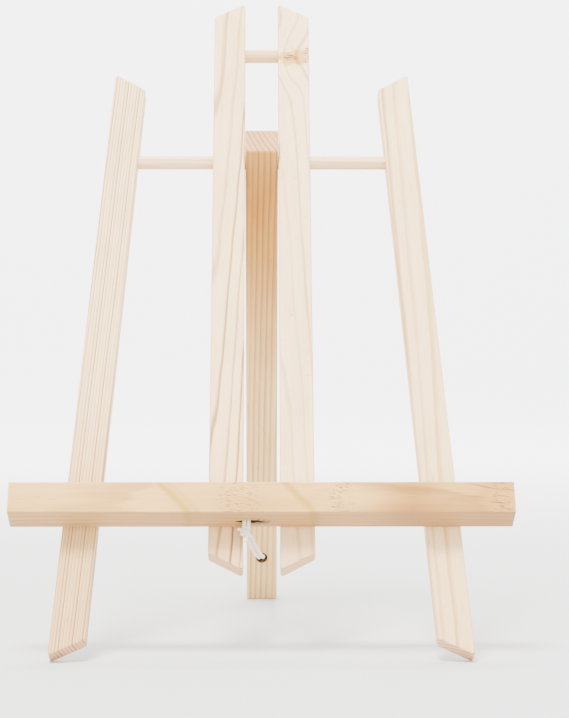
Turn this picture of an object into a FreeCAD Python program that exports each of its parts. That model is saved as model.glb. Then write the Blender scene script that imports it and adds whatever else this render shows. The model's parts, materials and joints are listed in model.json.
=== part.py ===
import FreeCAD, Part

import math
import os

from FreeCAD import Vector

# A small tabletop tripod easel in softwood, shown standing open.
#
# Row frame: +Z up, +X to the right seen from the front, the front faces -Y.
# The origin is on the ground, under the middle of the object's bounding box. Everything is built
# from the line through the tips of the front legs, and moved to that origin at the end.
#
# The front of the easel is flat and leans back. Its parts are laid out in a plane frame:
#   across  to the right along +X, from the middle
#   up      along the leaning front, from the tips of the legs
#   out     square to the front faces of the sticks, towards the canvas

# ---- driving dimensions, in millimetres and degrees ----
frame_lean = 30.0              # lean of the front from the vertical
rear_lean = 24.5               # lean of the rear leg from the vertical
frame_length = 300.0           # rounded leg tips to the rounded tips of the uprights, along the lean

stick_width = 13.2
stick_thickness = 7.5
mitre_angle = 29.0             # the ends of the four front sticks
edge_radius = 0.6              # sanded edges
tip_radius = 1.0               # corners of the four front sticks, seen from the front
bar_radius = 0.8               # long edges of the ledge, and the rear leg's ends seen from the side
dowel_diameter = 5.5
glue_gap = 0.05                # radial gap of a glued dowel
running_gap = 0.08             # radial gap of the rear leg on its dowel
seat_depth = 9.0               # how deep a dowel ends in a stick

leg_half_span = 78.5           # middle to the outer tip of a leg's foot
leg_splay = 3.6                # lean of a leg towards the middle
leg_length = 264.0             # along the outer edge, before the tips are rounded

upright_gap = 14.0             # between the two uprights
upright_foot = 34.0            # height of an upright's lower tip

ledge_width = 190.0
ledge_height = 13.0
ledge_depth = 13.0
ledge_bottom = 51.6

cross_dowel_height = 220.5
top_dowel_height = 275.6

rear_leg_width = 13.6
rear_leg_rise = 6.3            # front of the rear leg above its dowel
rear_leg_bevel = 46.8          # top end, high at the back
brow_radius = 2.0              # front edge of the bevel
cord_hole_diameter = 5.0
cord_hole_height = 22.0        # above the foot of the rear leg

nail_diameter = 1.2
nail_length = 15.0
nail_head_diameter = 2.4
nail_head_thickness = 0.5
nail_sink = 0.2                # head below the back of the stick

slot_length = 12.0             # lens-shaped plunge cut under the ledge
slot_width = 2.8
slot_depth = 8.0
slot_across = -4.6
slot_out = 5.1

cord_diameter = 1.5
arc_share = 0.45               # part of the shorter run that an arc takes up
parallel_tolerance = 1e-6
ledge_knot_radius = 2.1
ledge_knot_squash = 0.9
stop_knot_radius = 3.5
stop_knot_squash = 0.8

# ---- leaning directions ----
lean = math.radians(frame_lean)
rear = math.radians(rear_lean)
frame_up = Vector(0, math.sin(lean), math.cos(lean))
frame_out = Vector(0, -math.cos(lean), math.sin(lean))
frame_across = Vector(1, 0, 0)
leg_down = Vector(0, math.sin(rear), -math.cos(rear))
leg_front = Vector(0, -math.cos(rear), -math.sin(rear))

dowel_out = -stick_thickness / 2
nail_up = ledge_bottom + ledge_height / 2


def place(across, up, out):
    """A point of the plane frame."""
    return frame_across * across + frame_up * up + frame_out * out


hinge = place(0, cross_dowel_height, dowel_out)


def on_rear_leg(across, down, front):
    """A point measured from the hinge: across, down the rear leg, and towards its front face."""
    return hinge + frame_across * across + leg_down * down + leg_front * front


def rounded_prism(corners, sweep, corner_radii):
    """Sweep a flat outline along a vector, round it at each corner, then round both its rims."""
    outline = Part.makePolygon(corners + corners[:1])
    solid = Part.Face(outline).extrude(sweep)
    for corner, radius in zip(corners, corner_radii):
        middle = corner + sweep * 0.5
        nearest = min(solid.Edges, key=lambda edge: edge.CenterOfMass.distanceToPoint(middle))
        solid = solid.makeFillet(radius, [nearest])
    rims = []
    for edge in solid.Edges:
        direction = edge.tangentAt(edge.FirstParameter)
        if abs(direction.dot(sweep)) < parallel_tolerance:
            rims.append(edge)
    return solid.makeFillet(edge_radius, rims)


def tip_loss(splay):
    """How much rounding its tip shortens a stick, measured along the front."""
    half_corner = math.radians((90 - mitre_angle) / 2)
    toward_tip = math.cos(half_corner + math.radians(splay))
    return tip_radius * (toward_tip / math.sin(half_corner) - 1)


def rod(start, end, radius):
    axis = end - start
    return Part.makeCylinder(radius, axis.Length, start, axis)


# ---- holes shared by several parts ----
def cross_dowel_end(side):
    """Inner end point of the blind seat that holds the cross dowel in a leg."""
    splay = math.radians(leg_splay)
    outer = leg_half_span - cross_dowel_height * math.tan(splay)
    inner = outer - stick_width / math.cos(splay)
    return place(side * (inner + seat_depth), cross_dowel_height, dowel_out)


def top_dowel_end(side):
    return place(side * (upright_gap / 2 + seat_depth), top_dowel_height, dowel_out)


def dowel_hole(end_point, gap):
    """Tool for a dowel hole, from one end point to its mirror image."""
    other_end = Vector(-end_point.x, end_point.y, end_point.z)
    return rod(other_end, end_point, dowel_diameter / 2 + gap)


def stick_centre_at(side, up):
    """Middle of a leg's width at a height, across the frame."""
    splay = math.radians(leg_splay)
    outer = leg_half_span - up * math.tan(splay)
    return side * (outer - stick_width / 2 / math.cos(splay))


def nail(across):
    """A panel pin driven from behind a stick into the ledge."""
    head_back = place(across, nail_up, -stick_thickness + nail_sink)
    head_front = head_back + frame_out * nail_head_thickness
    tip_start = head_front + frame_out * (nail_length - nail_diameter)
    head = rod(head_back, head_front, nail_head_diameter / 2)
    shank = rod(head_front, tip_start, nail_diameter / 2)
    point = Part.makeCone(nail_diameter / 2, nail_diameter / 10, nail_diameter, tip_start, frame_out)
    return head.fuse([shank, point]).removeSplitter()


def nail_hole(across):
    """The nail's own shape, open through the back of the stick."""
    head_back = place(across, nail_up, -stick_thickness + nail_sink)
    entry = rod(head_back - frame_out * (2 * nail_sink), head_back, nail_head_diameter / 2)
    return nail(across).fuse(entry)


def nail_places():
    upright_middle = upright_gap / 2 + stick_width / 2
    leg_middle = stick_centre_at(1, nail_up)
    return [-leg_middle, -upright_middle, upright_middle, leg_middle]


# ---- front frame ----
def make_leg(side):
    splay = math.radians(leg_splay)
    mitre_drop = stick_width * math.tan(math.radians(mitre_angle))

    def leg_point(along, inward):
        across = leg_half_span - along * math.sin(splay) - inward * math.cos(splay)
        up = along * math.cos(splay) - inward * math.sin(splay)
        return place(side * across, up, 0)

    corners = [
        leg_point(0, 0),
        leg_point(mitre_drop, stick_width),
        leg_point(leg_length - mitre_drop, stick_width),
        leg_point(leg_length, 0),
    ]
    leg = rounded_prism(corners, frame_out * -stick_thickness, [tip_radius] * 4)
    leg = leg.cut(dowel_hole(cross_dowel_end(side), glue_gap))
    return leg.cut(nail_hole(stick_centre_at(side, nail_up)))


def make_upright(side):
    inner = upright_gap / 2
    outer = inner + stick_width
    mitre_drop = stick_width * math.tan(math.radians(mitre_angle))
    sharp_tip = frame_length + tip_loss(leg_splay) + tip_loss(0)
    corners = [
        place(side * inner, upright_foot, 0),
        place(side * outer, upright_foot + mitre_drop, 0),
        place(side * outer, sharp_tip - mitre_drop, 0),
        place(side * inner, sharp_tip, 0),
    ]
    upright = rounded_prism(corners, frame_out * -stick_thickness, [tip_radius] * 4)
    upright = upright.cut(dowel_hole(cross_dowel_end(side), glue_gap))
    upright = upright.cut(dowel_hole(top_dowel_end(side), glue_gap))
    return upright.cut(nail_hole(side * (inner + stick_width / 2)))


def make_slot():
    """Lens-shaped plunge cut that holds the two strands of the cord."""
    half_length = slot_length / 2
    half_width = slot_width / 2
    radius = (half_length ** 2 + half_width ** 2) / (2 * half_width)
    offset = radius - half_width
    bottom = ledge_bottom - edge_radius
    height = slot_depth + edge_radius
    near = Part.makeCylinder(radius, height, place(slot_across, bottom, slot_out - offset), frame_up)
    far = Part.makeCylinder(radius, height, place(slot_across, bottom, slot_out + offset), frame_up)
    return near.common(far)


def make_ledge():
    half = ledge_width / 2
    corners = [
        place(-half, ledge_bottom, 0),
        place(-half, ledge_bottom, ledge_depth),
        place(-half, ledge_bottom + ledge_height, ledge_depth),
        place(-half, ledge_bottom + ledge_height, 0),
    ]
    ledge = rounded_prism(corners, frame_across * ledge_width, [bar_radius] * 4)
    for across in nail_places():
        ledge = ledge.cut(nail_hole(across))
    return ledge.cut(make_slot())


# ---- dowels and nails ----
def make_dowel(end_point):
    """A dowel between an end point and its mirror image, with small chamfers."""
    other_end = Vector(-end_point.x, end_point.y, end_point.z)
    dowel = rod(other_end, end_point, dowel_diameter / 2)
    rims = [edge for edge in dowel.Edges if isinstance(edge.Curve, Part.Circle)]
    return dowel.makeChamfer(edge_radius, rims)


def make_nails():
    return Part.makeCompound([nail(across) for across in nail_places()])


# ---- rear leg ----
def reach_to_ground(ground):
    """Length of the rear leg below its hinge that puts its rounded front edge on the ground."""
    edge_lift = bar_radius * (math.cos(rear) + math.sin(rear) - 1)
    corner_height = ground - edge_lift
    return (hinge.z - stick_thickness / 2 * math.sin(rear) - corner_height) / math.cos(rear)


def make_rear_leg(reach):
    half = rear_leg_width / 2
    front = stick_thickness / 2
    bevel_rise = stick_thickness * math.tan(math.radians(rear_leg_bevel))
    corners = [
        on_rear_leg(-half, reach, front),
        on_rear_leg(-half, reach, -front),
        on_rear_leg(-half, -rear_leg_rise - bevel_rise, -front),
        on_rear_leg(-half, -rear_leg_rise, front),
    ]
    corner_radii = [bar_radius, bar_radius, bar_radius, brow_radius]
    leg = rounded_prism(corners, frame_across * rear_leg_width, corner_radii)
    hinge_hole = rod(
        on_rear_leg(-rear_leg_width, 0, 0),
        on_rear_leg(rear_leg_width, 0, 0),
        dowel_diameter / 2 + running_gap,
    )
    cord_hole = rod(
        on_rear_leg(0, reach - cord_hole_height, stick_thickness),
        on_rear_leg(0, reach - cord_hole_height, -stick_thickness),
        cord_hole_diameter / 2,
    )
    return leg.cut(hinge_hole).cut(cord_hole)


# ---- cord ----
def cord_route(side, hole_down):
    """Points of one strand, from the slot under the ledge to the back of the rear leg.

    The strands lie side by side in the slot, turn to lie one above the other where they pass
    between the uprights, and lie side by side again in the rear leg's hole.
    """
    leg_back = -stick_thickness / 2
    leaving = place(-4.5, 48.5, -4.4)
    hole_mouth = on_rear_leg(0, hole_down - 0.4, 4.8)
    span = hole_mouth - leaving
    centres_and_halves = [
        (place(-5.6, ledge_bottom + 5.5, slot_out), Vector(0.8, 0, 0)),
        (place(-5.6, ledge_bottom - 0.2, slot_out), Vector(0.8, 0, 0)),
        (place(-6.2, ledge_bottom - 3.6, 3.1), Vector(0.85, 0, 0.15)),
        (leaving, Vector(0.4, 0, 0.9)),
        (leaving + span * 0.15 + Vector(0, 0, -0.4), Vector(0.5, 0, 0.8)),
        (leaving + span * 0.45 + Vector(0, 0, -0.9), Vector(0.75, 0, 0.5)),
        (leaving + span * 0.80 + Vector(0, 0, -0.5), Vector(0.8, 0, 0.2)),
        (hole_mouth, Vector(0.8, 0, 0)),
        (on_rear_leg(0, hole_down + 0.7, leg_back + 0.4), Vector(0.8, 0, 0)),
    ]
    return [centre + half * side for centre, half in centres_and_halves]


def make_cord(name, points):
    """A tube along straight runs joined by tangent arcs."""
    edges = []
    radii = []
    start = points[0]
    for before, corner, after in zip(points, points[1:], points[2:]):
        incoming = corner - before
        outgoing = after - corner
        half_turn = incoming.getAngle(outgoing) / 2
        cut_back = arc_share * min(incoming.Length, outgoing.Length)
        radius = cut_back / math.tan(half_turn)
        incoming.normalize()
        outgoing.normalize()
        arc_start = corner - incoming * cut_back
        arc_end = corner + outgoing * cut_back
        inward = (outgoing - incoming).normalize()
        arc_middle = corner + inward * (radius / math.cos(half_turn) - radius)
        edges.append(Part.LineSegment(start, arc_start).toShape())
        edges.append(Part.Arc(arc_start, arc_middle, arc_end).toShape())
        radii.append(radius)
        start = arc_end
    edges.append(Part.LineSegment(start, points[-1]).toShape())
    path = Part.Wire(edges)
    direction = points[1] - points[0]
    section = Part.Wire(Part.makeCircle(cord_diameter / 2, points[0], direction))
    tube = path.makePipeShell([section], True, True)
    expected = math.pi * cord_diameter ** 2 / 4 * path.Length
    runs = [(after - before).Length for before, after in zip(points, points[1:])]
    print(name, "length", round(path.Length, 1), "volume ratio", round(tube.Volume / expected, 4))
    print(name, "runs", [round(run, 1) for run in runs])
    print(name, "arc radii", [round(radius, 1) for radius in radii])
    return tube


def make_knot(centre, axis, radius, squash):
    """A plain rounded lump for a pulled-tight knot, squashed along an axis."""
    ball = Part.makeSphere(radius)
    stretch = FreeCAD.Matrix()
    stretch.scale(1.0, 1.0, squash)
    lump = ball.transformGeometry(stretch)
    lump.Placement = FreeCAD.Placement(centre, FreeCAD.Rotation(Vector(0, 0, 1), axis))
    return lump


def make_ledge_knot(hole_down):
    middle = (cord_route(-1, hole_down)[2] + cord_route(1, hole_down)[2]) * 0.5
    return make_knot(middle, Vector(0, 0, 1), ledge_knot_radius, ledge_knot_squash)


def make_stop_knot(hole_down):
    depth = -stick_thickness / 2 - stop_knot_radius * stop_knot_squash
    centre = on_rear_leg(0, hole_down, depth)
    return make_knot(centre, leg_front, stop_knot_radius, stop_knot_squash)


# ---- build every part ----
left_leg = make_leg(-1)
ground = left_leg.optimalBoundingBox().ZMin
reach = reach_to_ground(ground)
hole_down = reach - cord_hole_height

parts = {
    "left_leg": left_leg,
    "right_leg": make_leg(1),
    "left_upright": make_upright(-1),
    "right_upright": make_upright(1),
    "top_dowel": make_dowel(top_dowel_end(1)),
    "cross_dowel": make_dowel(cross_dowel_end(1)),
    "rear_leg": make_rear_leg(reach),
    "ledge": make_ledge(),
    "ledge_nails": make_nails(),
    "cord_left_strand": make_cord("cord_left_strand", cord_route(-1, hole_down)),
    "cord_right_strand": make_cord("cord_right_strand", cord_route(1, hole_down)),
    "ledge_knot": make_ledge_knot(hole_down),
    "stop_knot": make_stop_knot(hole_down),
}

# ---- move the origin to the ground, under the middle of the bounding box ----
whole_box = Part.makeCompound(list(parts.values())).optimalBoundingBox()
to_row_frame = Vector(0, -(whole_box.YMin + whole_box.YMax) / 2, -ground)

os.makedirs("parts", exist_ok=True)
for name, shape in parts.items():
    shape.translate(to_row_frame)
    shape.exportStep("parts/" + name + ".step")

print("hinge", hinge + to_row_frame)
print("rear leg below hinge", round(reach, 2))
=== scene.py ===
import json
import math

import bmesh
import bpy
from mathutils import Euler, Matrix, Vector


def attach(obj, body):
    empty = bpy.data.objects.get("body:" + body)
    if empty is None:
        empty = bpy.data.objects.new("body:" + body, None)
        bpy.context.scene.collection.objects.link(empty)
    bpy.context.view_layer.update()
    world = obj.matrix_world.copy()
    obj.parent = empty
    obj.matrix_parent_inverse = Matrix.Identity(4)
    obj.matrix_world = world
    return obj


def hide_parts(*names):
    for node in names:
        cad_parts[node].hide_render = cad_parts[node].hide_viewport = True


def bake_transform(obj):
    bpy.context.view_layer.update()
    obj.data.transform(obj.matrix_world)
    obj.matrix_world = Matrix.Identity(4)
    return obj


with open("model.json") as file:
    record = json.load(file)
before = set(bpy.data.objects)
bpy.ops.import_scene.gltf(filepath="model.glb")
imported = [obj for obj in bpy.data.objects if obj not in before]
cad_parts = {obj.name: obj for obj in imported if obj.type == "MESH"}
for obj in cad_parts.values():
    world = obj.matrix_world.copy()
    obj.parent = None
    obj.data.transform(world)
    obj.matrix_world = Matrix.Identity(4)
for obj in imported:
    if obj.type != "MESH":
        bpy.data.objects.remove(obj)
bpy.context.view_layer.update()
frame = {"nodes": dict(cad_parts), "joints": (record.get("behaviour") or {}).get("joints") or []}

MM = 0.001

# ---------------------------------------------------------------------------------------------
# Geometry of the easel, in millimetres and degrees, as the part is designed
# ---------------------------------------------------------------------------------------------
FRAME_LEAN = math.radians(30.0)
REAR_LEAN = math.radians(24.5)
CROSS_DOWEL_HEIGHT = 220.5
TOP_DOWEL_HEIGHT = 275.6
STICK_WIDTH = 13.2
STICK_THICKNESS = 7.5
DOWEL_DIAMETER = 5.5
REAR_LEG_WIDTH = 13.6
LEG_HALF_SPAN = 78.5
LEG_SPLAY = math.radians(3.6)
LEG_LENGTH = 264.0
UPRIGHT_GAP = 14.0
LEDGE_BOTTOM = 51.6
LEDGE_HEIGHT = 13.0
LEDGE_DEPTH = 13.0
REAR_LEG_BELOW_HINGE = 209.65
CORD_HOLE_HEIGHT = 22.0
CORD_HOLE_RADIUS = 2.5
SLOT_ACROSS = -4.6
SLOT_OUT = 5.1
CORD_DIAMETER = 1.5

# how far behind the rear leg's back face the stop knot's middle lies
STOP_KNOT_DEPTH = 2.1

RIGHT = Vector((1, 0, 0))
FRAME_UP = Vector((0, math.sin(FRAME_LEAN), math.cos(FRAME_LEAN)))
FRAME_OUT = Vector((0, -math.cos(FRAME_LEAN), math.sin(FRAME_LEAN)))
LEG_DOWN = Vector((0, math.sin(REAR_LEAN), -math.cos(REAR_LEAN)))
LEG_FRONT = Vector((0, -math.cos(REAR_LEAN), -math.sin(REAR_LEAN)))
HINGE = Vector(frame["joints"][0]["pos_m"])
HOLE_DOWN = REAR_LEG_BELOW_HINGE - CORD_HOLE_HEIGHT

# where the sticks' own axes start: this far down the rear leg, and this far up the uprights
REAR_LEG_MIDDLE = 95.0
UPRIGHT_MIDDLE = 167.0

# places in those axes: the cord hole along the rear leg, the branch knot on the right upright
CORD_HOLE_ALONG = REAR_LEG_MIDDLE - HOLE_DOWN
KNOT_BELOW_TOP_DOWEL = 3.4
KNOT_MIDDLE = (0.0, TOP_DOWEL_HEIGHT - UPRIGHT_MIDDLE - KNOT_BELOW_TOP_DOWEL)


def place(across, up, out):
    """A point of the leaning front: across and up from the leg tips, out from the sticks' faces."""
    rise = FRAME_UP * (up - CROSS_DOWEL_HEIGHT)
    return HINGE + (RIGHT * across + rise + FRAME_OUT * (out + STICK_THICKNESS / 2)) * MM


def on_rear_leg(across, down, front):
    """A point measured from the hinge: across, down the rear leg and towards its front face."""
    return HINGE + (RIGHT * across + LEG_DOWN * down + LEG_FRONT * front) * MM


# ---------------------------------------------------------------------------------------------
# Camera, floor and light
# ---------------------------------------------------------------------------------------------
CAMERA_DISTANCE = 0.8715
CAMERA_ELEVATION = math.radians(0.327)
CAMERA_LENS = 110.55
AIM_HEIGHT = 130.0
AIM_RIGHT = math.radians(0.593)
AIM_DOWN = math.radians(0.309)

WORLD_STRENGTH = 2.3
WHITE = (1.0, 1.0, 1.0)
WARM_WHITE = (1.0, 0.99, 0.97)
COOL_WHITE = (0.98, 0.99, 1.0)

# the backdrop in metres, and how finely its curve and its round are divided
FLOOR_RADIUS = 2.2
CURVE_RADIUS = 1.2
WALL_TOP = 2.6
CURVE_STEPS = 12
ROUND_STEPS = 96
SAME_POINT = 1e-5

# the paper's grey near the object, darker there as painted shade, and far from it, and where the
# change starts and ends
PAPER_NEAR = 0.56
PAPER_FAR = 0.94
PAPER_CHANGE = (0.15, 1.3)


def make_camera():
    """A long lens straight in front of the easel, a little above its middle."""
    target = place(0, AIM_HEIGHT, 0)
    forward = Vector((0, math.cos(CAMERA_ELEVATION), -math.sin(CAMERA_ELEVATION)))
    data = bpy.data.cameras.new("camera")
    data.sensor_fit = "AUTO"
    data.sensor_width = 36.0
    data.lens = CAMERA_LENS
    data.clip_start = 0.01
    data.clip_end = 50
    camera = bpy.data.objects.new("camera", data)
    camera.location = target - forward * CAMERA_DISTANCE
    tilt = math.pi / 2 - CAMERA_ELEVATION - AIM_DOWN
    camera.rotation_euler = Euler((tilt, 0, -AIM_RIGHT))
    bpy.context.collection.objects.link(camera)
    bpy.context.scene.camera = camera


def make_area_light(name, position, target, size, power, colour):
    """A round lamp that faces its target. Lengths are in metres, power in watts."""
    data = bpy.data.lights.new(name, "AREA")
    data.shape = "DISK"
    data.size = size
    data.energy = power
    data.color = colour
    light = bpy.data.objects.new(name, data)
    light.location = position
    light.rotation_euler = (Vector(target) - Vector(position)).to_track_quat("-Z", "Y").to_euler()
    bpy.context.collection.objects.link(light)


def make_lights():
    """Three lamps that face the easel, and one behind it that faces the backdrop's far side."""
    easel = (0, 0, 0.13)
    wall = (0, 3.4, 0.9)
    make_area_light("key", (-0.3, -0.75, 1.9), easel, size=0.7, power=118, colour=WARM_WHITE)
    make_area_light("fill", (1.3, -1.2, 1.0), easel, size=1.2, power=16, colour=COOL_WHITE)
    make_area_light("back", (0.5, 1.4, 1.3), easel, size=1.2, power=26, colour=WARM_WHITE)
    make_area_light("wall", (0, 1.6, 3.0), wall, size=1.6, power=220, colour=WHITE)


def make_world():
    world = bpy.data.worlds.new("studio")
    world.use_nodes = True
    background = world.node_tree.nodes["Background"]
    background.inputs["Color"].default_value = (*WHITE, 1)
    background.inputs["Strength"].default_value = WORLD_STRENGTH
    bpy.context.scene.world = world


def make_backdrop():
    """A round paper floor that curves up into a wall, so that there is no sharp horizon."""
    profile = [(0.0, 0.0), (FLOOR_RADIUS, 0.0)]
    for step in range(1, CURVE_STEPS + 1):
        angle = math.pi / 2 * step / CURVE_STEPS
        across = FLOOR_RADIUS + CURVE_RADIUS * math.sin(angle)
        profile.append((across, CURVE_RADIUS * (1 - math.cos(angle))))
    profile.append((FLOOR_RADIUS + CURVE_RADIUS, WALL_TOP))
    builder = bmesh.new()
    corners = [builder.verts.new((radius, 0, height)) for radius, height in profile]
    edges = [builder.edges.new(pair) for pair in zip(corners, corners[1:])]
    bmesh.ops.spin(
        builder, geom=corners + edges, cent=(0, 0, 0), axis=(0, 0, 1), angle=2 * math.pi,
        steps=ROUND_STEPS, use_merge=True,
    )
    bmesh.ops.remove_doubles(builder, verts=builder.verts, dist=SAME_POINT)
    bmesh.ops.recalc_face_normals(builder, faces=builder.faces)
    mesh = bpy.data.meshes.new("backdrop")
    builder.to_mesh(mesh)
    builder.free()
    for face in mesh.polygons:
        face.use_smooth = True
    backdrop = bpy.data.objects.new("backdrop", mesh)
    bpy.context.collection.objects.link(backdrop)
    mesh.materials.append(paper_material())


# ---------------------------------------------------------------------------------------------
# A small writer for material graphs
# ---------------------------------------------------------------------------------------------
class Graph:
    """Adds nodes to a new material and links them. Arguments are numbers, tuples or sockets."""

    def __init__(self, name):
        self.material = bpy.data.materials.new(name)
        self.material.use_nodes = True
        self.tree = self.material.node_tree
        self.shader = self.tree.nodes["Principled BSDF"]

    def feed(self, socket, value):
        if isinstance(value, bpy.types.NodeSocket):
            self.tree.links.new(value, socket)
        elif value is not None:
            socket.default_value = value

    def math(self, operation, a, b=None):
        node = self.tree.nodes.new("ShaderNodeMath")
        node.operation = operation
        self.feed(node.inputs[0], a)
        self.feed(node.inputs[1], b)
        return node.outputs[0]

    def plus(self, a, b):
        return self.math("ADD", a, b)

    def minus(self, a, b):
        return self.math("SUBTRACT", a, b)

    def times(self, a, b):
        return self.math("MULTIPLY", a, b)

    def size_of(self, value):
        """The value without its sign."""
        return self.math("ABSOLUTE", value)

    def inverse(self, value):
        """1 where the value is 0, and 0 where it is 1."""
        return self.minus(1.0, value)

    def distance(self, a, b):
        """How far a point with the coordinates a and b is from the middle."""
        squares = self.plus(self.math("POWER", a, 2.0), self.math("POWER", b, 2.0))
        return self.math("SQRT", squares)

    def smooth(self, value, low, high):
        """0 below low, 1 above high, and a smooth step between."""
        node = self.tree.nodes.new("ShaderNodeMapRange")
        node.interpolation_type = "SMOOTHSTEP"
        self.feed(node.inputs["Value"], value)
        node.inputs["From Min"].default_value = low
        node.inputs["From Max"].default_value = high
        return node.outputs["Result"]

    def bump_of(self, value, middle, width):
        """1 at the middle, falling smoothly to 0 a width away on either side."""
        return self.inverse(self.smooth(self.size_of(self.minus(value, middle)), 0.0, width))

    def vector(self, x, y, z):
        node = self.tree.nodes.new("ShaderNodeCombineXYZ")
        for socket, value in zip(node.inputs, (x, y, z)):
            self.feed(socket, value)
        return node.outputs[0]

    def split(self, vector):
        node = self.tree.nodes.new("ShaderNodeSeparateXYZ")
        self.feed(node.inputs[0], vector)
        return node.outputs

    def along(self, vector, direction):
        """How much of the vector points in the direction."""
        node = self.tree.nodes.new("ShaderNodeVectorMath")
        node.operation = "DOT_PRODUCT"
        self.feed(node.inputs[0], vector)
        node.inputs[1].default_value = direction
        return node.outputs["Value"]

    def scaled(self, vector, factors, offset=(0, 0, 0)):
        node = self.tree.nodes.new("ShaderNodeMapping")
        self.feed(node.inputs["Vector"], vector)
        node.inputs["Scale"].default_value = factors
        node.inputs["Location"].default_value = offset
        return node.outputs[0]

    def noise(self, vector, detail, roughness=0.5, scale=1.0):
        node = self.tree.nodes.new("ShaderNodeTexNoise")
        self.feed(node.inputs["Vector"], vector)
        node.inputs["Scale"].default_value = scale
        node.inputs["Detail"].default_value = detail
        node.inputs["Roughness"].default_value = roughness
        return node.outputs["Fac"]

    def random(self, value):
        node = self.tree.nodes.new("ShaderNodeTexWhiteNoise")
        node.noise_dimensions = "1D"
        self.feed(node.inputs["W"], value)
        return node.outputs["Value"]

    def mix(self, factor, a, b, blend="MIX"):
        node = self.tree.nodes.new("ShaderNodeMix")
        node.data_type = "RGBA"
        node.blend_type = blend
        self.feed(node.inputs["Factor"], factor)
        self.feed(node.inputs["A"], a)
        self.feed(node.inputs["B"], b)
        return node.outputs["Result"]

    def stain(self, colour, mask, amount, tint, blend="MIX"):
        """The colour with a tint over it where the mask is 1. The tint is in screen values."""
        return self.mix(self.times(mask, amount), colour, srgb(*tint), blend)

    def bump(self, height, distance, strength):
        node = self.tree.nodes.new("ShaderNodeBump")
        node.inputs["Strength"].default_value = strength
        node.inputs["Distance"].default_value = distance
        self.feed(node.inputs["Height"], height)
        return node.outputs["Normal"]

    def coordinates(self):
        return self.tree.nodes.new("ShaderNodeTexCoord").outputs

    def millimetres(self):
        """The object's own coordinates, in millimetres."""
        return self.scaled(self.coordinates()["Object"], (1000, 1000, 1000))

    def finish(self, colour, roughness, normal):
        self.feed(self.shader.inputs["Base Color"], colour)
        self.feed(self.shader.inputs["Roughness"], roughness)
        self.feed(self.shader.inputs["Normal"], normal)
        return self.material


def srgb(red, green, blue):
    """A colour given in 0-255 screen values, as linear light."""
    def linear(value):
        value /= 255
        return value / 12.92 if value <= 0.04045 else ((value + 0.055) / 1.055) ** 2.4
    return (linear(red), linear(green), linear(blue), 1.0)


def grey(value):
    return (value, value, value, 1)


def paper_material():
    """Matt paper, greyer near the object: painted shade on the floor round it, which also sends
    little light back up into it.
    """
    graph = Graph("backdrop_paper")
    x, y, _ = graph.split(graph.coordinates()["Object"])
    outward = graph.smooth(graph.distance(x, y), *PAPER_CHANGE)
    colour = graph.mix(outward, grey(PAPER_NEAR), grey(PAPER_FAR))
    graph.feed(graph.shader.inputs["Base Color"], colour)
    graph.shader.inputs["Roughness"].default_value = 0.95
    graph.shader.inputs["Specular IOR Level"].default_value = 0.1
    return graph.material


# ---------------------------------------------------------------------------------------------
# Wood
# ---------------------------------------------------------------------------------------------
class Stick:
    """A stick's own axes: x across, y from its front face to its back, z along the grain."""

    def __init__(self, middle, along, front):
        self.middle = middle
        self.along = along.normalized()
        self.back = -front.normalized()
        self.across = self.back.cross(self.along)

    def rotation(self):
        columns = Matrix((self.across, self.back, self.along)).transposed()
        return columns.to_euler()


def leg_stick(side):
    along = RIGHT * (-side * math.sin(LEG_SPLAY)) + FRAME_UP * math.cos(LEG_SPLAY)
    half = LEG_LENGTH / 2
    across = LEG_HALF_SPAN - half * math.sin(LEG_SPLAY) - STICK_WIDTH / 2
    middle = place(side * across, half * math.cos(LEG_SPLAY), -STICK_THICKNESS / 2)
    return Stick(middle, along, FRAME_OUT)


def upright_stick(side):
    across = side * (UPRIGHT_GAP + STICK_WIDTH) / 2
    return Stick(place(across, UPRIGHT_MIDDLE, -STICK_THICKNESS / 2), FRAME_UP, FRAME_OUT)


def dowel_stick(height):
    return Stick(place(0, height, -STICK_THICKNESS / 2), RIGHT, FRAME_OUT)


# the ledge lies on its side in these axes: its x points down, and its z to the right
STICKS = {
    "left_leg": leg_stick(-1),
    "right_leg": leg_stick(1),
    "left_upright": upright_stick(-1),
    "right_upright": upright_stick(1),
    "rear_leg": Stick(on_rear_leg(0, REAR_LEG_MIDDLE, 0), -LEG_DOWN, LEG_FRONT),
    "ledge": Stick(place(0, LEDGE_BOTTOM + LEDGE_HEIGHT / 2, LEDGE_DEPTH / 2), RIGHT, FRAME_OUT),
    "top_dowel": dowel_stick(TOP_DOWEL_HEIGHT),
    "cross_dowel": dowel_stick(CROSS_DOWEL_HEIGHT),
}

STICK_HALF = (STICK_WIDTH / 2, STICK_THICKNESS / 2)
DOWEL_HALF = (DOWEL_DIAMETER / 2, DOWEL_DIAMETER / 2)

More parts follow.
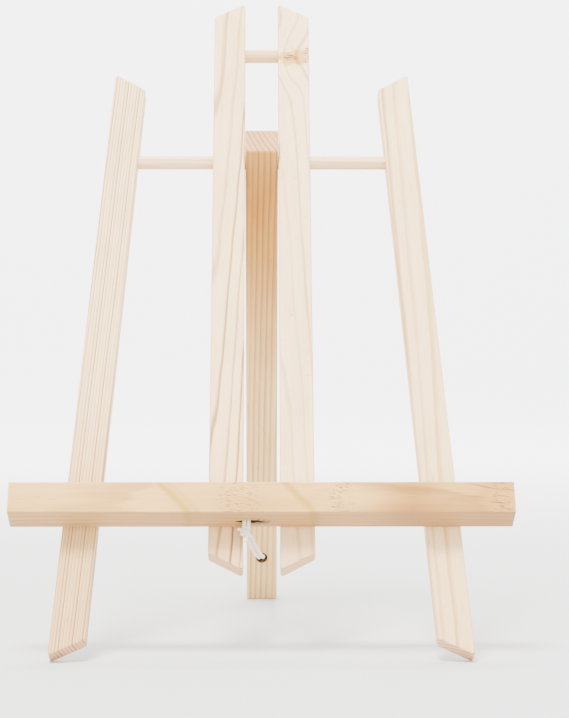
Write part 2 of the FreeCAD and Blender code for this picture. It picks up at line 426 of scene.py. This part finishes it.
# How each piece was cut from its tree. Lengths are in millimetres in the stick's own axes.
# half is half the piece's width and thickness, heart is where the tree's middle lies, drift how
# far it wanders per millimetre of length, ring is the width of a year's growth, sharp the share
# of it before the late wood starts, wave how much the rings wander, late how dark late wood
# gets, and light and dark are the colours of early and late wood in 0-255 screen values.
LOOKS = {
    "left_leg": dict(
        half=STICK_HALF, heart=(-70, 14), drift=(0.012, 0.01), ring=1.2, sharp=0.3, wave=0.35,
        late=0.95, light=(243, 205, 151), dark=(140, 95, 26),
    ),
    "right_leg": dict(
        half=STICK_HALF, heart=(12, 22), drift=(0.004, 0.008), ring=2.3, sharp=0.5, wave=0.5,
        late=0.8, light=(243, 207, 153), dark=(168, 118, 32),
    ),
    "left_upright": dict(
        half=STICK_HALF, heart=(-10, 22), drift=(0.03, -0.02), ring=2.0, sharp=0.66, wave=0.9,
        late=0.95, light=(243, 204, 151), dark=(140, 94, 28),
    ),
    "right_upright": dict(
        half=STICK_HALF, heart=(-12, 24), drift=(-0.015, 0.02), ring=2.3, sharp=0.7, wave=0.8,
        late=0.55, light=(244, 209, 160), dark=(160, 112, 42),
    ),
    "rear_leg": dict(
        half=(REAR_LEG_WIDTH / 2, STICK_THICKNESS / 2), heart=(38, 34), drift=(0.01, 0.01),
        ring=1.7, sharp=0.3, wave=0.5, late=0.65, light=(236, 196, 134), dark=(138, 90, 26),
    ),
    "ledge": dict(
        half=(LEDGE_HEIGHT / 2, LEDGE_DEPTH / 2), heart=(2, 24), drift=(0.06, 0.03),
        ring=3.0, sharp=0.45, wave=1.8, late=0.6, light=(222, 175, 96), dark=(144, 98, 28),
    ),
    "top_dowel": dict(
        half=DOWEL_HALF, heart=(20, 6), drift=(0.01, 0.0), ring=1.3, sharp=0.4, wave=0.3,
        late=0.4, light=(234, 194, 140), dark=(160, 106, 48),
    ),
    "cross_dowel": dict(
        half=DOWEL_HALF, heart=(-18, 9), drift=(0.01, 0.0), ring=1.4, sharp=0.4, wave=0.3,
        late=0.4, light=(238, 200, 152), dark=(166, 114, 58),
    ),
}

# the shares of a year's growth at which late wood is fullest and starts to end
LATE_WOOD_FULL = 0.88
LATE_WOOD_ENDS = 0.90

# how strong the faintest ring is beside the strongest
FAINTEST_RING = 0.35

# how far apart in the log the pieces are cut, so that no two show the same grain
LOG_SPACING = 31.7

# colours and tints in 0-255 screen values
DUCT_COLOUR = (150, 98, 56)
HANDLED_COLOUR = (196, 148, 104)
END_COLOUR = (220, 172, 132)
END_RING_COLOUR = (136, 90, 56)
KNOT_TINT = (218, 188, 122)
KNOT_EYE_COLOUR = (88, 46, 12)
# painted shade on the legs' and uprights' feet and on the rear leg's top
END_SHADE_TINT = (198, 170, 99)
# painted shade inside the cord hole
HOLE_SHADE_COLOUR = (86, 50, 26)
RESIN_COLOUR = (186, 144, 38)
WARM_TINT = (206, 186, 142)
FLECK_COLOUR = (108, 68, 24)
MARK_COLOUR = (110, 64, 26)
# painted shade on the ledge's lower face
UNDERSIDE_SHADE_COLOUR = (158, 118, 88)
# painted shade inside the slot
SLOT_SHADE_COLOUR = (52, 32, 18)
TORN_COLOUR = (70, 46, 30)

# the branch knot: the half width and half height of its band and of the rings' swell round it,
# how far they swell, and how ragged its outline is
KNOT_BAND = (15.0, 7.5)
KNOT_SWELL = (14.0, 24.0)
KNOT_SWELL_HEIGHT = 3.2
KNOT_RAGGED = 1.8

# the dark parts of the knot: place from its middle, reach and strength
KNOT_EYES = [
    ((-1.4, 0.2), (5.4, 3.2), 0.95),
    ((5.9, 0.8), (2.0, 7.5), 0.9),
    ((6.0, 4.6), (2.2, 2.0), 1.0),
]

# painted shade: where along a stick it starts, where it is darkest, and how much
# it darkens the legs and uprights towards their feet below the ledge, and the rear leg towards its
# top
PAINTED_END_SHADE = {
    "rear_leg": (-20.0, 70.0, 0.9),
    "left_leg": (-20.0, -90.0, 0.45),
    "right_leg": (-20.0, -90.0, 0.15),
    "left_upright": (-90.0, -125.0, 0.35),
    "right_upright": (-90.0, -125.0, 0.3),
}

# the ledge's resin streaks and warm patches: place along it, half width and strength
RESIN_STREAKS = [(-33.0, 3.0, 1.0), (-29.5, 2.6, 0.5), (14.0, 3.2, 0.85)]
WARM_PATCHES = [(0.0, 50.0, 0.3), (57.0, 24.0, 0.95), (88.0, 26.0, 0.75)]

# how far a resin streak moves along the ledge for each millimetre down
STREAK_SLANT = 0.85

# where the ledge's short dark flecks gather along it, how far they spread, and their slant
FLECK_ZONES = [(-9.0, 13.0), (29.5, 8.0), (90.0, 7.0)]
FLECK_SLANT = 0.2

# the flecks' fineness per millimetre across and along the grain: long strokes, thin across
FLECKS_ACROSS = 2.1
FLECKS_ALONG = 0.36

# along, across, slant, half length and strength of the strongest grain lines near the ledge's
# end, and half the width of such a line
LEDGE_MARKS = [
    (83.5, -4.3, 0.22, 9.0, 0.9),
    (93.0, -2.9, 0.15, 5.0, 0.7),
    (89.0, 2.4, 0.1, 5.0, 1.0),
    (92.0, 5.0, 0.1, 4.0, 0.7),
    (80.0, 0.0, 0.1, 7.0, 0.35),
]
MARK_HALF_WIDTH = 0.5

# the slot's inside, as far from its middle as its painted shade reaches, and the torn fibres beside
# it
SLOT_SHADE_ALONG = 7.2
SLOT_SHADE_BEHIND = (1.5, 1.7)
TORN_TO_THE_RIGHT = 4.0
TORN_ALONG = 5.0
TORN_BEHIND = 2.6


class WoodAxes:
    """The stick's own coordinates in millimetres, and the same moved to its place in the log."""

    def __init__(self, graph, name):
        stick = STICKS[name]
        source = graph.coordinates()
        local = graph.tree.nodes.new("ShaderNodeMapping")
        local.vector_type = "TEXTURE"
        local.inputs["Location"].default_value = stick.middle
        local.inputs["Rotation"].default_value = stick.rotation()
        local.inputs["Scale"].default_value = (MM, MM, MM)
        graph.feed(local.inputs["Vector"], source["Object"])
        position = local.outputs[0]
        shift = LOG_SPACING * sorted(LOOKS).index(name)
        self.graph = graph
        self.x, self.y, self.z = graph.split(position)
        self.in_log = graph.scaled(position, (1, 1, 1), (shift, shift * 0.37, shift * 1.7))
        self.facing_end = graph.size_of(graph.along(source["Normal"], stick.along))

    def pattern(self, scale, detail, roughness=0.5, offset=(0, 0, 0)):
        """Noise laid out in the log, scaled across, through and along the grain."""
        return self.graph.noise(self.graph.scaled(self.in_log, scale, offset), detail, roughness)

    def swing(self, height, scale, detail, roughness=0.5, offset=(0, 0, 0)):
        """The same noise, swinging to both sides of 0."""
        noise = self.pattern(scale, detail, roughness, offset)
        return self.graph.times(self.graph.minus(noise, 0.5), height)


class Grain:
    """What every piece of wood shows, each from 0 to 1."""

    def __init__(self, graph, axes, name):
        look = LOOKS[name]
        self.late = growth_rings(graph, axes, name)
        self.fibre = axes.pattern((4.2, 4.2, 0.09), 4.0, 0.65)
        self.streak = axes.pattern((1.0, 1.0, 0.018), 3.0)
        self.blotch = axes.pattern((0.10, 0.10, 0.028), 3.0, 0.55)
        self.ducts = graph.smooth(axes.pattern((3.0, 3.0, 0.15), 1.0, 0.4), 0.70, 0.76)
        self.edge = near_edge(graph, axes, look["half"])
        self.end = graph.smooth(axes.facing_end, 0.35, 0.62)


def ring_shift(graph, axes, name):
    """How far the rings stray from true circles: slowly, in a fine flutter, and round a knot."""
    wave = LOOKS[name]["wave"]
    wander = axes.swing(wave * 3.0, (0.05, 0.05, 0.012), 2.0)
    flutter = axes.swing(wave * 0.8, (0.2, 0.2, 0.022), 3.0, offset=(7.3, 1.9, 4.1))
    shift = graph.plus(wander, flutter)
    if name == "right_upright":
        swell = graph.times(oval(graph, axes, KNOT_MIDDLE, KNOT_SWELL), KNOT_SWELL_HEIGHT)
        shift = graph.plus(shift, swell)
    return shift


def growth_rings(graph, axes, name):
    """Growth rings as cylinders round the tree's heart: 0 in early wood, 1 in late wood."""
    look = LOOKS[name]
    from_heart = []
    for across, heart, drift in zip((axes.x, axes.y), look["heart"], look["drift"]):
        centre = graph.plus(graph.times(axes.z, drift), heart)
        from_heart.append(graph.minus(across, centre))
    radius = graph.plus(graph.distance(*from_heart), ring_shift(graph, axes, name))
    turns = graph.math("DIVIDE", radius, look["ring"])
    phase = graph.math("FRACT", turns)
    rise = graph.smooth(phase, look["sharp"], LATE_WOOD_FULL)
    fall = graph.inverse(graph.smooth(phase, LATE_WOOD_ENDS, 1.0))
    uneven = graph.times(graph.random(graph.math("FLOOR", turns)), 1 - FAINTEST_RING)
    strength = graph.plus(uneven, FAINTEST_RING)
    return graph.times(graph.times(rise, fall), strength)


def near_edge(graph, axes, half):
    """1 on the rounded long edges of a stick, 0 on its flats."""
    half_x, half_y = half
    at_side = graph.smooth(graph.size_of(axes.x), half_x - 0.75, half_x - 0.15)
    at_face = graph.smooth(graph.size_of(axes.y), half_y - 0.75, half_y - 0.15)
    return graph.times(at_side, at_face)


def oval(graph, axes, middle, reach):
    """1 in the middle of an oval seen on the front of a stick, 0 outside it."""
    shares = []
    for along, centre, size in zip((axes.x, axes.z), middle, reach):
        shares.append(graph.math("DIVIDE", graph.minus(along, centre), size))
    return graph.inverse(graph.smooth(graph.distance(*shares), 0.0, 1.0))


def wood_colour(graph, look, grain):
    """Early and late wood in blotches, with fibres, broad streaks and resin ducts."""
    light = srgb(*look["light"])
    dark = srgb(*look["dark"])
    warm = graph.times(graph.smooth(grain.blotch, 0.40, 0.66), 0.45)
    early = graph.mix(warm, light, graph.mix(0.3, light, dark))
    colour = graph.mix(graph.times(grain.late, look["late"]), early, dark)
    fine = graph.times(graph.minus(grain.fibre, 0.5), 0.5)
    broad = graph.times(graph.minus(grain.streak, 0.5), 0.45)
    shade = graph.plus(graph.plus(fine, broad), 0.5)
    colour = graph.mix(0.6, colour, graph.vector(shade, shade, shade), "SOFT_LIGHT")
    return graph.stain(colour, grain.ducts, 0.4, DUCT_COLOUR)


def paint_edges(graph, grain, colour):
    """Long edges are a little browner from handling."""
    uneven = graph.plus(graph.times(grain.streak, 0.5), 0.2)
    return graph.stain(colour, graph.times(grain.edge, uneven), 0.6, HANDLED_COLOUR)


def paint_end_grain(graph, grain, colour):
    """Faces cut across the grain are browner, with dark rings."""
    end_colour = graph.mix(0.65, colour, srgb(*END_COLOUR))
    end_colour = graph.stain(end_colour, grain.late, 0.7, END_RING_COLOUR)
    return graph.mix(graph.times(grain.end, 0.85), colour, end_colour)


def paint_knot(graph, axes, colour):
    """A branch cut lengthwise: a ragged warm band with darker, finely streaked eyes."""
    ragged = axes.swing(KNOT_RAGGED, (0.32, 0.32, 0.5), 4.0, 0.65)
    band = graph.smooth(graph.plus(oval(graph, axes, KNOT_MIDDLE, KNOT_BAND), ragged), 0.2, 0.8)
    colour = graph.stain(colour, band, 0.95, KNOT_TINT, "MULTIPLY")
    hatch = graph.smooth(axes.pattern((0.6, 0.6, 1.8), 3.0, 0.7), 0.42, 0.56)
    for offset, reach, strength in KNOT_EYES:
        middle = [centre + shift for centre, shift in zip(KNOT_MIDDLE, offset)]
        eye = graph.smooth(graph.plus(oval(graph, axes, middle, reach), ragged), 0.25, 0.7)
        colour = graph.stain(colour, graph.times(eye, hatch), strength, KNOT_EYE_COLOUR)
    return colour


def paint_end_shade(graph, axes, name, colour):
    """Painted shade: browner and darker towards one end of a stick."""
    start, full, amount = PAINTED_END_SHADE[name]
    share = graph.smooth(axes.z, start, full)
    return graph.stain(colour, share, amount, END_SHADE_TINT, "MULTIPLY")


def paint_cord_hole_shade(graph, axes, colour):
    """Painted shade: the drilled hole's wall and rim are painted dark, as the shade inside the
    hole.
    """
    from_axis = graph.distance(axes.x, graph.minus(axes.z, CORD_HOLE_ALONG))
    beyond = graph.smooth(from_axis, CORD_HOLE_RADIUS + 0.02, CORD_HOLE_RADIUS + 0.25)
    return graph.stain(colour, graph.inverse(beyond), 0.85, HOLE_SHADE_COLOUR)


def paint_ledge_front(graph, axes, colour):
    """Yellow resin streaks, warm patches, short dark flecks and grain lines on the ledge bar."""
    wobble = axes.swing(4.0, (0.25, 0.25, 0.12), 3.0, 0.6)
    slanted = graph.plus(graph.minus(axes.z, graph.times(axes.x, STREAK_SLANT)), wobble)
    for middle, width, strength in RESIN_STREAKS:
        streak = graph.bump_of(slanted, middle, width)
        colour = graph.stain(colour, streak, strength, RESIN_COLOUR)
    straight = graph.plus(axes.z, wobble)
    for middle, reach, strength in WARM_PATCHES:
        patch = graph.bump_of(straight, middle, reach)
        colour = graph.stain(colour, patch, strength, WARM_TINT, "MULTIPLY")
    colour = graph.stain(colour, ledge_flecks(graph, axes), 0.85, FLECK_COLOUR)
    for mark in LEDGE_MARKS:
        colour = paint_mark(graph, axes, colour, mark)
    return colour


def ledge_flecks(graph, axes):
    """1 on the short dark flecks, which lie in groups on the ledge's front face only."""
    tilted = graph.minus(axes.x, graph.times(axes.z, FLECK_SLANT))
    across = graph.times(tilted, FLECKS_ACROSS)
    strokes = graph.vector(across, 0.0, graph.times(axes.z, FLECKS_ALONG))
    flecks = graph.smooth(graph.noise(strokes, 2.0, 0.6), 0.54, 0.62)
    front = -LEDGE_DEPTH / 2
    flecks = graph.times(flecks, graph.inverse(graph.smooth(axes.y, front + 0.1, front + 0.9)))
    groups = 0.0
    for middle, reach in FLECK_ZONES:
        groups = graph.plus(groups, graph.bump_of(axes.z, middle, reach))
    return graph.times(flecks, graph.smooth(groups, 0.05, 0.8))


def paint_mark(graph, axes, colour, mark):
    """One thin dark grain line: where it is along and across, its slant, length and strength."""
    along, across, slant, half_length, strength = mark
    line = graph.times(graph.minus(axes.z, along), slant)
    from_line = graph.minus(axes.x, graph.plus(line, across))
    thin = graph.bump_of(from_line, 0.0, MARK_HALF_WIDTH)
    amount = graph.times(thin, graph.bump_of(axes.z, along, half_length))
    return graph.stain(colour, amount, strength, MARK_COLOUR)


def ledge_underside(graph, axes):
    """1 on the ledge's lower face."""
    return graph.smooth(axes.x, LEDGE_HEIGHT / 2 - 0.7, LEDGE_HEIGHT / 2 - 0.1)


def paint_underside_shade(graph, axes, colour):
    """Painted shade: the ledge's lower face is painted browner and darker than its front."""
    return graph.stain(colour, ledge_underside(graph, axes), 0.5, UNDERSIDE_SHADE_COLOUR)


def paint_slot(graph, axes, colour):
    """The slot's inside painted dark as painted shade, and wood fibres torn out beside its
    right-hand end.
    """
    slot_y = LEDGE_DEPTH / 2 - SLOT_OUT
    within = graph.smooth(graph.bump_of(axes.z, SLOT_ACROSS, SLOT_SHADE_ALONG), 0.0, 0.05)
    behind = graph.size_of(graph.minus(axes.y, slot_y))
    within = graph.times(within, graph.inverse(graph.smooth(behind, *SLOT_SHADE_BEHIND)))
    surface = LEDGE_HEIGHT / 2
    at_surface = graph.smooth(graph.size_of(axes.x), surface - 0.4, surface - 0.1)
    inside = graph.times(within, graph.inverse(at_surface))
    colour = graph.stain(colour, inside, 0.95, SLOT_SHADE_COLOUR)
    specks = graph.smooth(axes.pattern((1.7, 1.7, 0.6), 2.0, 0.6), 0.45, 0.52)
    beside = graph.bump_of(axes.y, slot_y, TORN_BEHIND)
    torn = graph.times(graph.bump_of(axes.z, SLOT_ACROSS + TORN_TO_THE_RIGHT, TORN_ALONG), beside)
    torn = graph.times(graph.smooth(torn, 0.02, 0.2), specks)
    torn = graph.times(torn, ledge_underside(graph, axes))
    return graph.stain(colour, torn, 0.9, TORN_COLOUR)


def wood_roughness(graph, grain):
    rough = graph.plus(graph.times(grain.fibre, 0.2), 0.48)
    rough = graph.plus(rough, graph.times(grain.end, 0.15))
    return graph.minus(rough, graph.times(grain.edge, 0.12))


def wood_relief(graph, grain):
    """Fibres and late wood stand up a little, and ducts lie open."""
    relief = graph.plus(graph.times(grain.fibre, 0.6), graph.times(grain.late, 0.5))
    relief = graph.minus(relief, graph.times(grain.ducts, 0.5))
    return graph.bump(relief, 0.06 * MM, 0.7)


def wood_material(name):
    graph = Graph("wood_" + name)
    axes = WoodAxes(graph, name)
    grain = Grain(graph, axes, name)
    colour = wood_colour(graph, LOOKS[name], grain)
    if name == "right_upright":
        colour = paint_knot(graph, axes, colour)
    if name == "ledge":
        colour = paint_ledge_front(graph, axes, colour)
    if name in PAINTED_END_SHADE:
        colour = paint_end_shade(graph, axes, name, colour)
    colour = paint_edges(graph, grain, colour)
    colour = paint_end_grain(graph, grain, colour)
    if name == "ledge":
        colour = paint_underside_shade(graph, axes, colour)
        colour = paint_slot(graph, axes, colour)
    if name == "rear_leg":
        colour = paint_cord_hole_shade(graph, axes, colour)
    graph.shader.inputs["Specular IOR Level"].default_value = 0.3
    return graph.finish(colour, wood_roughness(graph, grain), wood_relief(graph, grain))


def give_material(name, material):
    node = frame["nodes"][name]
    node.data.materials.clear()
    node.data.materials.append(material)


def paint_wood():
    for name in LOOKS:
        give_material(name, wood_material(name))


# ---------------------------------------------------------------------------------------------
# Steel pins
# ---------------------------------------------------------------------------------------------
def pin_material():
    graph = Graph("pin_steel")
    position = graph.millimetres()
    hammered = graph.noise(position, 3.0, 0.6, scale=1.6)
    scratches = graph.noise(graph.scaled(position, (9, 1.2, 9)), 2.0)
    colour = graph.mix(hammered, srgb(150, 150, 152), srgb(204, 204, 205))
    rough = graph.plus(graph.times(scratches, 0.3), 0.22)
    graph.shader.inputs["Metallic"].default_value = 1.0
    return graph.finish(colour, rough, graph.bump(hammered, 0.08 * MM, 0.6))


# ---------------------------------------------------------------------------------------------
# Cord
# ---------------------------------------------------------------------------------------------
# a laid cord: how many plies, a ply's radius as a share of the cord's diameter, and its corners
PLIES = 3
PLY_SHARE = 0.34
PLY_SIDES = 8

# the length of one twist and the distance between points along the strands and in the knots
STRAND_TWIST = 3.4
STRAND_STEP = 0.3
KNOT_TWIST = 2.6
KNOT_STEP = 0.15

# where the plies start on the right strand, as an angle, mirrored on the left one
STRAND_TURN = 0.6

# over how many points a cut end narrows, and how much of its section is left at the very end
END_POINTS = 3
BLUNT_END = 0.06

# how finely a spline is divided, and a length that is safe to divide by
CURVE_RESOLUTION = 40
TINY = 1e-12

# the tie under the ledge: its middle, its cord's diameter and its wraps round the strands
TIE_MIDDLE = (-6.2, LEDGE_BOTTOM - 3.6, 3.1)
TIE_CORD_DIAMETER = 1.15
TIE_TURNS = 2.5
TIE_STEPS = 20
TIE_HALF_WIDTH = 1.55
TIE_HALF_DEPTH = 1.15
TIE_HEIGHT = 2.4

# the trefoil behind the rear leg: its ring and lobes, its thickness, and the share of a full
# trefoil that is laid before its end leaves it
TREFOIL_RING = 1.75
TREFOIL_LOBE = 0.95
TREFOIL_HALF_DEPTH = 1.45
TREFOIL_SHARE = 0.94
TREFOIL_STEPS = 30


def cord_route(side):
    """One strand, from the slot under the ledge to the back of the rear leg."""
    leaving = place(-4.5, 48.5, -4.4)
    hole_mouth = on_rear_leg(0, HOLE_DOWN - 0.4, 4.8)
    span = hole_mouth - leaving
    back_face = -STICK_THICKNESS / 2
    # each row is a point midway between the strands, and the way from it to the right strand
    centres_and_halves = [
        (place(-5.6, LEDGE_BOTTOM + 5.5, SLOT_OUT), (0.8, 0, 0)),
        (place(-5.6, LEDGE_BOTTOM - 0.2, SLOT_OUT), (0.8, 0, 0)),
        (place(*TIE_MIDDLE), (0.85, 0, 0.15)),
        (leaving, (0.4, 0, 0.9)),
        (leaving + span * 0.15 + Vector((0, 0, -0.4)) * MM, (0.5, 0, 0.8)),
        (leaving + span * 0.45 + Vector((0, 0, -0.9)) * MM, (0.75, 0, 0.5)),
        (leaving + span * 0.80 + Vector((0, 0, -0.5)) * MM, (0.8, 0, 0.2)),
        (hole_mouth, (0.8, 0, 0)),
        (on_rear_leg(0, HOLE_DOWN + 0.7, back_face + 0.4), (0.8, 0, 0)),
        (on_rear_leg(0, HOLE_DOWN + 0.5, back_face - 1.8), (0.6, 0, 0)),
    ]
    return [centre + Vector(half) * MM * side for centre, half in centres_and_halves]


def smooth_line(points):
    """Points along the NURBS curve that has these control points."""
    curve = bpy.data.curves.new("route", "CURVE")
    curve.dimensions = "3D"
    curve.resolution_u = CURVE_RESOLUTION
    spline = curve.splines.new("NURBS")
    spline.points.add(len(points) - 1)
    for control, point in zip(spline.points, points):
        control.co = (*point, 1.0)
    spline.order_u = 3
    spline.use_endpoint_u = True
    holder = bpy.data.objects.new("route", curve)
    bpy.context.collection.objects.link(holder)
    bpy.context.view_layer.update()
    mesh = bpy.data.meshes.new_from_object(holder)
    line = [vertex.co.copy() for vertex in mesh.vertices]
    bpy.data.objects.remove(holder)
    bpy.data.meshes.remove(mesh)
    bpy.data.curves.remove(curve)
    return line


def lengths_along(line):
    """How far along the line each of its points is."""
    lengths = [0.0]
    for before, after in zip(line, line[1:]):
        lengths.append(lengths[-1] + (after - before).length)
    return lengths


def even_line(points, step):
    """The same line with points about a step apart."""
    lengths = lengths_along(points)
    count = max(2, round(lengths[-1] / step))
    line = []
    index = 0
    for number in range(count + 1):
        target = lengths[-1] * number / count
        while index < len(points) - 2 and lengths[index + 1] < target:
            index += 1
        share = (target - lengths[index]) / max(lengths[index + 1] - lengths[index], TINY)
        line.append(points[index].lerp(points[index + 1], share))
    return line


def side_directions(line):
    """Two directions square to the line at each point, turning as little as possible."""
    directions = []
    side = None
    for index, _ in enumerate(line):
        after = line[min(index + 1, len(line) - 1)]
        before = line[max(index - 1, 0)]
        forward = (after - before).normalized()
        if side is None:
            side = forward.orthogonal().normalized()
        side = (side - forward * side.dot(forward)).normalized()
        directions.append((side, forward.cross(side)))
    return directions


def end_narrowing(index, last, end_points):
    """The share of a tube's full radius at a point. Without end points nothing narrows."""
    if end_points == 0:
        return 1.0
    missing = max(0.0, 1 - min(index, last - index) / end_points)
    return math.sqrt(max(BLUNT_END, 1 - missing ** 2))


def add_tube(mesh, line, radius, end_points):
    """A closed tube round a line."""
    rings = []
    for index, (point, (side, up)) in enumerate(zip(line, side_directions(line))):
        local_radius = radius * end_narrowing(index, len(line) - 1, end_points)
        ring = []
        for corner in range(PLY_SIDES):
            angle = 2 * math.pi * corner / PLY_SIDES
            offset = (side * math.cos(angle) + up * math.sin(angle)) * local_radius
            ring.append(mesh.verts.new(point + offset))
        rings.append(ring)
    for ring, following in zip(rings, rings[1:]):
        for corner in range(PLY_SIDES):
            beside = (corner + 1) % PLY_SIDES
            mesh.faces.new((ring[corner], ring[beside], following[beside], following[corner]))
    mesh.faces.new(reversed(rings[0]))
    mesh.faces.new(rings[-1])


def add_twisted_cord(mesh, line, diameter, twist, end_points=0, turn=0.0):
    """Plies twisted round a line, as in a laid cotton cord."""
    ply_radius = diameter * PLY_SHARE
    offset = diameter / 2 - ply_radius
    directions = side_directions(line)
    lengths = lengths_along(line)
    for ply in range(PLIES):
        start = turn + 2 * math.pi * ply / PLIES
        ply_line = []
        for point, (side, up), length in zip(line, directions, lengths):
            angle = start + 2 * math.pi * length / twist
            ply_line.append(point + (side * math.cos(angle) + up * math.sin(angle)) * offset)
        add_tube(mesh, ply_line, ply_radius, end_points)


def finished_piece(name, mesh_builder, material):
    mesh = bpy.data.meshes.new(name)
    bmesh.ops.recalc_face_normals(mesh_builder, faces=mesh_builder.faces)
    mesh_builder.to_mesh(mesh)
    mesh_builder.free()
    for face in mesh.polygons:
        face.use_smooth = True
    mesh.materials.append(material)
    piece = bpy.data.objects.new(name, mesh)
    bpy.context.collection.objects.link(piece)
    return piece


def cotton_material():
    graph = Graph("cotton")
    position = graph.millimetres()
    fibres = graph.noise(graph.scaled(position, (5, 5, 5)), 4.0, 0.7)
    dirt = graph.noise(graph.scaled(position, (0.25, 0.25, 0.25)), 3.0)
    colour = graph.mix(fibres, srgb(214, 198, 176), srgb(252, 242, 224))
    colour = graph.stain(colour, graph.smooth(dirt, 0.45, 0.7), 0.4, (214, 190, 156))
    graph.shader.inputs["Sheen Weight"].default_value = 0.4
    graph.shader.inputs["Sheen Roughness"].default_value = 0.6
    graph.shader.inputs["Specular IOR Level"].default_value = 0.15
    return graph.finish(colour, 0.9, graph.bump(fibres, 0.08 * MM, 0.8))


def make_strands(cotton, knots):
    """The doubled cord. The argument knots, the knots for each side, is not used."""
    for side, node in ((-1, "cord_left_strand"), (1, "cord_right_strand")):
        route = cord_route(side)
        line = even_line(smooth_line(route), STRAND_STEP * MM)
        builder = bmesh.new()
        add_twisted_cord(
            builder, line, CORD_DIAMETER * MM, STRAND_TWIST * MM, turn=side * STRAND_TURN,
        )
        strand = finished_piece(node + "_twisted", builder, cotton)
        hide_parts(node)
        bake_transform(strand)


def knot_piece(name, control_points, diameter, cotton, node, body):
    """Twisted cord along a tight line, with short cut ends."""
    line = even_line(smooth_line(control_points), KNOT_STEP * MM)
    builder = bmesh.new()
    add_twisted_cord(builder, line, diameter * MM, KNOT_TWIST * MM, end_points=END_POINTS)
    piece = finished_piece(name, builder, cotton)
    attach(piece, body)
    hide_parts(node)
    return piece


def make_ledge_knot(cotton):
    """The tie under the ledge: two and a half wraps round both strands and two cut tails."""
    middle = place(*TIE_MIDDLE)
    # across, up and out from the middle: one tail, the wraps, and the other tail
    points = [(-2.9, 0.7, 1.2), (-2.1, 0.9, 1.3)]
    for step in range(TIE_STEPS + 1):
        angle = math.pi + 2 * math.pi * TIE_TURNS * step / TIE_STEPS
        up = TIE_HEIGHT / 2 - TIE_HEIGHT * step / TIE_STEPS
        points.append((TIE_HALF_WIDTH * math.cos(angle), up, -TIE_HALF_DEPTH * math.sin(angle)))
    points += [(0.7, -1.9, 1.0), (0.3, -3.2, 1.1), (0.1, -4.4, 1.0)]
    controls = []
    for across, up, out in points:
        controls.append(middle + (RIGHT * across + FRAME_UP * up + FRAME_OUT * out) * MM)
    return knot_piece(
        "ledge_knot_tied", controls, TIE_CORD_DIAMETER, cotton, "ledge_knot", "frame",
    )


def make_stop_knot(cotton):
    """An overhand knot behind the rear leg: most of a trefoil, with a short tail at each end."""
    depth = STICK_THICKNESS / 2 + STOP_KNOT_DEPTH
    # across, down and to the front from the middle: one tail, the trefoil, and the other tail
    points = [(1.6, 5.6, 0.6), (1.2, 3.6, 0.7)]
    for step in range(TREFOIL_STEPS + 1):
        angle = math.pi / 2 + 2 * math.pi * TREFOIL_SHARE * step / TREFOIL_STEPS
        ring = TREFOIL_RING + TREFOIL_LOBE * math.cos(3 * angle)
        front = TREFOIL_HALF_DEPTH * math.sin(3 * angle)
        points.append((ring * math.cos(2 * angle), ring * math.sin(2 * angle), front))
    points += [(-1.3, 3.4, -0.8), (-1.9, 5.2, -0.9)]
    controls = []
    for across, down, front in points:
        controls.append(on_rear_leg(across, HOLE_DOWN + down, front - depth))
    return knot_piece(
        "stop_knot_tied", controls, CORD_DIAMETER, cotton, "stop_knot", "rear_leg",
    )


# ---------------------------------------------------------------------------------------------
# Everything
# ---------------------------------------------------------------------------------------------
make_camera()
make_lights()
make_world()
make_backdrop()
cotton = cotton_material()
make_strands(cotton, {-1: [make_ledge_knot(cotton)], 1: [make_stop_knot(cotton)]})
paint_wood()
give_material("ledge_nails", pin_material())
